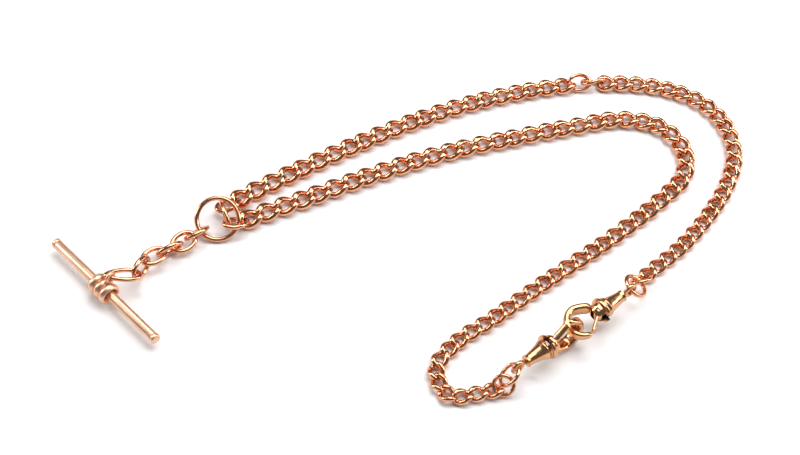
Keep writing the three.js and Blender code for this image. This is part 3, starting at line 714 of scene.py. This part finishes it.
def satin_gold(name, colour_value, heading):
    """Satin gold: fine lines drawn along the bar, with a soft cloudy sheen."""
    made = Finish(name)
    plain = made.coordinates()
    drawn = made.coordinates((6.0, 0.5, 0.5), heading)
    line = made.noise(drawn, 5200.0, 4.0, 0.65)
    cloud = made.noise(plain, 260.0, 3.0)
    dent = made.ranged(made.noise(plain, 700.0, 2.0), 0.64, 0.76, 0.0, 1.0)
    tint = made.blend(made.ranged(cloud, 0.35, 0.65, 0.0, 1.0),
                      shade(colour_value, 0.88, 1.4), shade(colour_value, 1.05))
    lined = made.blend(made.ranged(line, 0.45, 0.7, 0.0, 0.35), tint,
                       shade(colour_value, 0.74, 1.3))
    roughness = made.ranged(line, 0.3, 0.7, 0.27, 0.43) + cloud * 0.06
    height = line * 0.7 + dent * -1.2
    bump = made.add("ShaderNodeBump", {}, {"Strength": 0.22, "Distance": 0.00005,
                                           "Height": height})
    return made.finish(Base_Color=lined, Metallic=1.0, Roughness=roughness, Normal=bump)


def spring_steel(name, colour_value):
    """Dark spring steel with rolled lines."""
    made = Finish(name)
    line = made.noise(made.coordinates((4.0, 0.4, 1.0)), 4200.0, 3.0)
    tint = made.blend(line, shade(colour_value, 0.7), shade(colour_value, 1.2))
    bump = made.add("ShaderNodeBump", {}, {"Strength": 0.2, "Distance": 0.00004,
                                           "Height": line})
    return made.finish(Base_Color=tint, Metallic=1.0,
                       Roughness=made.ranged(line, 0.3, 0.7, 0.25, 0.45), Normal=bump)


def finish_named(name):
    """The material of that name, made when it is first asked for."""
    if name in bpy.data.materials:
        return bpy.data.materials[name]
    colours = settings().finish
    makers = {
        "chain gold": lambda: polished_gold(name, colours.chain_gold, 0.085, 0.10),
        "clasp gold": lambda: polished_gold(name, colours.clasp_gold, 0.15, 0.16,
                                            CLASP_HEADING * RAD),
        "bar gold": lambda: satin_gold(name, colours.bar_gold, BAR_HEADING * RAD),
        "spring steel": lambda: spring_steel(name, colours.spring_steel),
    }
    return makers[name]()


# ------------------------------------------------------------------ the arms

def arm_line(points, letter, from_eye):
    """The line of an arm, ended beside its clasp's swivel eye."""
    eye = (clasp_places()[letter]["eye_middle"] - table_shift()) / MM
    return [*points, (eye[0] + from_eye[0], eye[1] + from_eye[1])]


def add_arm(arm, points, runs, singles):
    """Each curb link of an arm as a fine piece that rides on its run's body."""
    sizes = settings().chain
    links = lay_arm(points, runs)
    twist = sizes.curb_twist
    gold = finish_named("chain gold")
    first, number, count = 0, 0, 0
    for index, size in enumerate(runs):
        own = links[first:first + size]
        first += size
        if index in singles:
            continue
        number += 1
        run = f"{arm}_run_{number:02d}"
        for link in own:
            count += 1
            wire = link["wire"] * sizes.curb_fullness
            growth = link["wire"] * sizes.curb_growth
            path = oval(link["length"] + growth, link["width"] + growth, wire, twist)
            surface = moved(wire_loop(path, wire, 40, 12), turn(link["heading"]), link["centre"])
            piece(f"{arm}_curb_link_{count:02d}", surface, gold, run, run)


class CHAIN_OT_upper_arm(bpy.types.Operator):
    """Curb links of the upper arm and the two plain links that splice it"""
    bl_idname = "watch_chain.upper_arm"
    bl_label = "Upper arm"

    def execute(self, context):
        points = arm_line(UPPER_POINTS, "a", UPPER_END_FROM_EYE)
        add_arm("upper", points, UPPER_RUNS, UPPER_SINGLES)
        sizes = settings().chain
        links = lay_arm(points, UPPER_RUNS)
        for index, name in UPPER_SINGLES.items():
            if name not in JOIN_ROLLS:
                continue
            link = links[sum(UPPER_RUNS[:index])]
            width, wire, twist = sizes.join_width, sizes.join_wire, sizes.join_twist
            roll = JOIN_ROLLS[name] * RAD
            path = oval(sizes.join_length, width, wire, twist)
            centre = link["centre"].copy()
            centre[2] = rest_height(width, wire, twist, roll) + table_shift()[2]
            surface = moved(finished_wire(path, wire), turn(link["heading"], roll), centre)
            piece(name + "_fine", surface, finish_named("chain gold"), name, name)
        return {"FINISHED"}


class CHAIN_OT_lower_arm(bpy.types.Operator):
    """Curb links of the lower arm"""
    bl_idname = "watch_chain.lower_arm"
    bl_label = "Lower arm"

    def execute(self, context):
        points = arm_line(LOWER_POINTS, "b", LOWER_END_FROM_EYE)
        add_arm("lower", points, LOWER_RUNS, LOWER_SINGLES)
        return {"FINISHED"}


# ------------------------------------------------------------------ the ring and the drop

class CHAIN_OT_ring(bpy.types.Operator):
    """The large ring, with the two end links and the middle link at it"""
    bl_idname = "watch_chain.ring"
    bl_label = "Ring and end links"

    def execute(self, context):
        sizes = settings().chain
        gold = finish_named("chain gold")
        edge = ring_edge() + table_shift()
        centre = edge - np.array([ring_radius(), 0, 0])
        lean = math.asin(sizes.ring_rise / ring_radius())
        ring = finished_wire(circle(sizes.ring_diameter, sizes.ring_wire), sizes.ring_wire, 96, 20)
        piece("ring_fine", moved(ring, turn(0, lean), centre), gold, "root", "albert_ring")
        for name, (offset, angles) in END_LINKS.items():
            wire = sizes.middle_wire if name == "middle_link" else sizes.end_wire
            long, wide, twist = END_LINK_SHAPES[name]
            path = oval(long * MM, wide * MM, wire, twist * RAD)
            surface = moved(finished_wire(path, wire, 56, 14), turned_by(angles),
                            edge + np.array(offset) * MM)
            piece(name + "_fine", surface, gold, name, name)
        return {"FINISHED"}


class CHAIN_OT_drop(bpy.types.Operator):
    """Five trace links and the pear shackle that carry the T-bar"""
    bl_idname = "watch_chain.drop"
    bl_label = "Drop"

    def execute(self, context):
        sizes = settings().chain
        gold = finish_named("chain gold")
        link = finished_wire(oval(sizes.drop_length, sizes.drop_width, sizes.drop_wire),
                             sizes.drop_wire, 56, 14)
        for name, (place, angles) in DROP_LINKS.items():
            piece(name + "_fine", moved(link, turned_by(angles), placed(place)), gold, name, name)
        path = pear(sizes.shackle_length, sizes.shackle_wide, sizes.shackle_narrow,
                    sizes.shackle_wire)
        place, angles = SHACKLE_PLACE
        shackle = moved(finished_wire(path, sizes.shackle_wire, 64, 14), turned_by(angles),
                        placed(place))
        piece("pear_shackle_fine", shackle, gold, "pear_shackle", "pear_shackle")
        return {"FINISHED"}


# ------------------------------------------------------------------ the T-bar

def collar_outline(sizes):
    """Bore with a flared mouth inside three rounded ridges, each a sine arch's root."""
    half = sizes.collar_length / 2
    bore = sizes.bar_diameter / 2 + 0.22 * MM
    x = np.linspace(-half, half, 61)
    arch = np.abs(np.sin(3 * np.pi * (x + half) / (2 * half)))
    outer = sizes.collar_valley + (sizes.collar_radius - sizes.collar_valley) * np.sqrt(arch)
    inner = [(half, bore + 0.55 * MM), (half - 0.4 * MM, bore + 0.25 * MM),
             (half - 1.0 * MM, bore), (-half + 0.1 * MM, bore)]
    return np.vstack([inner, np.stack([x, outer], -1)])


class CHAIN_OT_t_bar(bpy.types.Operator):
    """The T-bar with its end caps and ridged collar"""
    bl_idname = "watch_chain.t_bar"
    bl_label = "T-bar"

    def execute(self, context):
        sizes = settings().bar
        gold = finish_named("bar gold")
        along = turn(BAR_HEADING * RAD)
        centre = placed((*BAR_CENTRE, sizes.collar_radius / MM))
        half = sizes.bar_length / 2
        radius = sizes.bar_diameter / 2
        shoulder = half - sizes.cap_length - 0.02 * MM
        rod = eased([(-shoulder, 0), (-shoulder, radius), (shoulder, radius), (shoulder, 0)],
                    0.08 * MM)
        piece("t_bar_fine", moved(turned(rod), along, centre), gold, "t_bar", "t_bar",
              slot="bar", sharp=40)
        cap = eased([(half - sizes.cap_length, 0), (half - sizes.cap_length, sizes.cap_radius),
                     (half - 0.22 * MM, sizes.cap_radius), (half, sizes.cap_radius - 0.25 * MM),
                     (half, 0)], 0.2 * MM, 6)
        for name, extra in (("bar_cap_near", 0), ("bar_cap_far", math.pi)):
            surface = moved(turned(cap), turn(BAR_HEADING * RAD + extra), centre)
            piece(name + "_fine", surface, gold, "t_bar", name, slot="bar", sharp=50)
        middle = centre + along @ np.array([COLLAR_OFFSET * MM, 0, 0])
        collar = moved(turned(collar_outline(sizes), 56), along, middle)
        eyelet = wire_loop(circle(sizes.eyelet_diameter, sizes.eyelet_wire), sizes.eyelet_wire)
        eyelet = moved(eyelet, turn(EYELET_HEADING * RAD, math.pi / 2), placed(EYELET_CENTRE))
        piece("bar_collar_fine", together(collar, eyelet), gold, "bar_collar", "bar_collar",
              slot="bar", sharp=60)
        return {"FINISHED"}


# ------------------------------------------------------------------ the clasps

def clasp_places():
    """Flange place, body turn and eye turn of each clasp, and each eye's middle."""
    sizes = settings().clasp
    axis = np.array([math.cos(CLASP_HEADING * RAD), math.sin(CLASP_HEADING * RAD), 0])
    strap_reach = max(y for _, y in STRAP_LINE)
    height = strap_reach + sizes.strap_thickness / MM / 2 + CLASP_LIFT
    middle = placed((*CLASP_CENTRE, height))
    gap = 2 * sizes.throat - sizes.interlock
    places = {}
    for letter, side, heading, roll in (("a", 1, CLASP_HEADING + 180, 180),
                                        ("b", -1, CLASP_HEADING, -90)):
        places[letter] = {
            "flange": middle + axis * side * gap / 2,
            "body": turn(heading * RAD, roll * RAD),
            "eye": turn(heading * RAD, math.pi / 2),
            "eye_middle": middle + axis * side * (gap / 2 + sizes.reach),
        }
    return places


def clasp_body_mesh(name):
    """Flanged barrel and curved strap, with the stem's bore, the lever's slot and pin hole."""
    sizes = settings().clasp
    barrel = sizes.barrel_radius / MM
    flange = sizes.flange_radius / MM
    outline = [(-5.7, 0), (-5.7, barrel), (-5.0, barrel - 0.15), (-3.4, barrel + 0.1),
               (-2.0, 1.7), (-1.2, 2.1), (-0.8, 1.9), (-0.4, 1.9), (-0.4, flange),
               (0.4, flange), (0.4, 2.0), (1.2, 2.0), (2.2, 1.2), (2.5, 0)]
    outside = turned(eased(np.array(outline) * MM, 0.22 * MM), 48)
    u = np.linspace(0, 1, 48)
    line = np.column_stack([spline(STRAP_LINE, u), np.zeros(48)]) * MM
    narrowing = np.maximum(0, 2 * u - 1)
    end_width, end_thickness = STRAP_END_WIDTH * MM, STRAP_END_THICKNESS * MM
    width = sizes.strap_width + (end_width - sizes.strap_width) * narrowing
    thickness = sizes.strap_thickness + (end_thickness - sizes.strap_thickness) * narrowing
    strap = strip(line, width, thickness, 24, 0.07)
    bore = turned(np.array(STEM_BORE_OUTLINE) * MM, 24)
    slot = block(*(np.array(SLOT_CORNERS) * MM))
    upright = np.array([[0, 0, 1], [1, 0, 0], [0, 1, 0]])
    hole = moved(turned(np.array(PIN_HOLE_OUTLINE) * MM, 20), upright,
                 np.array(LEVER_PIVOT) * MM)
    return carved(name, outside, [strap], [bore, slot, hole])


def across(surface, centre):
    """A turned solid laid along Z at a place."""
    return moved(surface, np.array([[0, 0, -1], [0, 1, 0], [1, 0, 0]]), centre)


class CHAIN_OT_clasps(bpy.types.Operator):
    """The two swivel clasps: body, lever, pin, spring and swivel eye"""
    bl_idname = "watch_chain.clasps"
    bl_label = "Clasps"

    def execute(self, context):
        sizes = settings().clasp
        gold = finish_named("clasp gold")
        pivot = np.array(LEVER_PIVOT) * MM
        tip = np.array(LEVER_TIP) * MM
        rows = 20
        line = pivot + (tip - pivot) * np.linspace(0, 1, rows)[:, None]
        bar = strip(line, np.full(rows, LEVER_WIDTH * MM), np.full(rows, LEVER_THICKNESS * MM),
                    dome=0.05)
        outline = eased(np.array(KNUCKLE_OUTLINE) * MM, 0.15 * MM)
        knuckle = across(turned(outline, 32), pivot)
        outline = eased(np.array(RIVET_OUTLINE) * MM, 0.12 * MM)
        rivet = across(turned(outline, 24), pivot)
        eye = finished_wire(circle(sizes.eye_diameter, sizes.eye_wire), sizes.eye_wire, 48, 14)
        eye = moved(eye, np.eye(3), (-sizes.reach, 0, 0))
        inner = -sizes.reach / MM + STEM_INSIDE_EYE
        stem = turned(np.array([(inner, 0), (inner, 0.4), (-4.5, 0.4), (-4.5, 0.7),
                                (-3.9, 0.7), (-3.9, 0)]) * MM, 24)
        for letter, place in clasp_places().items():
            name = f"clasp_{letter}"
            body = clasp_body_mesh(name + "_body_fine")
            set_in_place(body, place["body"], place["flange"])
            piece(name + "_body_fine", body, gold, name, name + "_body", slot="clasp", sharp=38)
            lever = carved(name + "_lever_fine", knuckle, [bar])
            set_in_place(lever, place["body"], place["flange"])
            piece(name + "_lever_fine", lever, gold, name + "_lever", name + "_lever",
                  slot="clasp", sharp=45)
            piece(name + "_pin_fine", moved(rivet, place["body"], place["flange"]), gold, name,
                  name + "_pin", slot="clasp", sharp=50)
            swivel = moved(together(eye, stem), place["eye"], place["flange"])
            piece(name + "_eye_fine", swivel, gold, name + "_swivel_eye", name + "_swivel_eye",
                  slot="clasp", sharp=50)
            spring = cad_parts[name + "_spring"]
            spring.data.materials.clear()
            spring.data.materials.append(finish_named("spring steel"))
        return {"FINISHED"}


def set_in_place(mesh, matrix, centre):
    """Turns and carries a mesh's points."""
    points = np.empty(len(mesh.vertices) * 3)
    mesh.vertices.foreach_get("co", points)
    points = points.reshape(-1, 3) @ matrix.T + centre
    mesh.vertices.foreach_set("co", points.ravel())
    mesh.update()


class CHAIN_OT_jump_rings(bpy.types.Operator):
    """Four jump rings between the arms and the clasps"""
    bl_idname = "watch_chain.jump_rings"
    bl_label = "Jump rings"

    def execute(self, context):
        sizes = settings().chain
        gold = finish_named("chain gold")
        places = clasp_places()
        for name, (letter, offset, angles) in JUMP_RINGS.items():
            diameter = sizes.jump_large if name.endswith("large") else sizes.jump_small
            ring = finished_wire(circle(diameter, sizes.jump_wire), sizes.jump_wire, 56, 14)
            centre = places[letter]["eye_middle"] + np.array(offset) * MM
            piece(name + "_fine", moved(ring, turned_by(angles), centre), gold, name, name)
        return {"FINISHED"}


# ------------------------------------------------------------------ the stage

def floor_material():
    made = Finish("pale floor")
    grain = made.noise(made.coordinates(), 60.0, 2.0)
    base = settings().finish.floor
    tint = made.blend(grain, shade(base, 0.99), shade(base, 1.0))
    return made.finish(Base_Color=tint, Roughness=0.9)


def softbox(name, place, size, power):
    """Rectangular light that faces the middle of the table."""
    data = bpy.data.lights.new(name, "AREA")
    data.shape = "RECTANGLE"
    data.size, data.size_y = size
    data.energy = power
    lamp = bpy.data.objects.new(name, data)
    lamp.location = place
    lamp.rotation_euler = track(-np.array(place))
    bpy.context.scene.collection.objects.link(lamp)


def track(direction):
    """Euler turn that points -Z along a direction."""
    x, y, z = direction / np.linalg.norm(direction)
    return (math.acos(-z), 0, math.atan2(y, x) - math.pi / 2)


class CHAIN_OT_stage(bpy.types.Operator):
    """Pale floor, soft studio lights and the camera"""
    bl_idname = "watch_chain.stage"
    bl_label = "Stage"

    def execute(self, context):
        stage = settings().stage
        scene = context.scene
        low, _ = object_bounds()
        level = low[2] - FLOOR_GAP
        slab = block((-FLOOR_HALF, -FLOOR_HALF, level - FLOOR_THICKNESS),
                     (FLOOR_HALF, FLOOR_HALF, level))
        floor = bpy.data.objects.new("floor", mesh_of("floor", slab))
        floor.data.materials.append(floor_material())
        scene.collection.objects.link(floor)
        floor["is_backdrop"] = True

        middle = table_shift() * np.array([1, 1, 0])
        camera = bpy.data.objects.new("camera", bpy.data.cameras.new("camera"))
        camera.data.lens = stage.lens
        camera.data.sensor_width = 36
        camera.data.clip_start = 0.01
        back = stage.camera_distance * math.cos(stage.camera_height)
        up = stage.camera_distance * math.sin(stage.camera_height)
        camera.location = middle + np.array([0, -back, up])
        camera.rotation_euler = (math.pi / 2 - stage.camera_height, 0, 0)
        scene.collection.objects.link(camera)
        scene.camera = camera

        for name, place, size, power in LIGHTS:
            softbox(name, place, size, getattr(stage, power))
        world = bpy.data.worlds.new("studio")
        world.use_nodes = True
        background = world.node_tree.nodes["Background"]
        background.inputs["Color"].default_value = SKY_COLOUR
        background.inputs["Strength"].default_value = SKY_STRENGTH
        scene.world = world
        scene.view_settings.view_transform = "Standard"
        return {"FINISHED"}


# ------------------------------------------------------------------ panel and main

OPERATORS = (CHAIN_OT_ring, CHAIN_OT_upper_arm, CHAIN_OT_lower_arm, CHAIN_OT_drop,
             CHAIN_OT_t_bar, CHAIN_OT_clasps, CHAIN_OT_jump_rings, CHAIN_OT_stage)


class CHAIN_PT_panel(bpy.types.Panel):
    """Buttons and sizes of the watch chain"""
    bl_idname = "CHAIN_PT_panel"
    bl_label = "Watch Chain"
    bl_space_type = "VIEW_3D"
    bl_region_type = "UI"
    bl_category = "Watch Chain"

    def draw(self, context):
        for operator in OPERATORS:
            self.layout.operator(operator.bl_idname)
        groups = context.scene.watch_chain
        for group in (groups.chain, groups.bar, groups.clasp, groups.finish, groups.stage):
            box = self.layout.box()
            for key in group.bl_rna.properties.keys():
                if key not in {"rna_type", "name"}:
                    box.prop(group, key)


CLASSES = (ChainSizes, BarSizes, ClaspSizes, Finishes, StageSettings, WatchChain,
           *OPERATORS, CHAIN_PT_panel)


def register():
    for item in CLASSES:
        bpy.utils.register_class(item)
    bpy.types.Scene.watch_chain = bpy.props.PointerProperty(type=WatchChain)


def unregister():
    del bpy.types.Scene.watch_chain
    for item in reversed(CLASSES):
        bpy.utils.unregister_class(item)


def corners():
    return [[float(v) for v in corner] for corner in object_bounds()]


def main():
    register()
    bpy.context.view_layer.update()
    for operator in OPERATORS:
        group, name = operator.bl_idname.split(".")
        getattr(getattr(bpy.ops, group), name)()


if __name__ == "__main__":
    main()
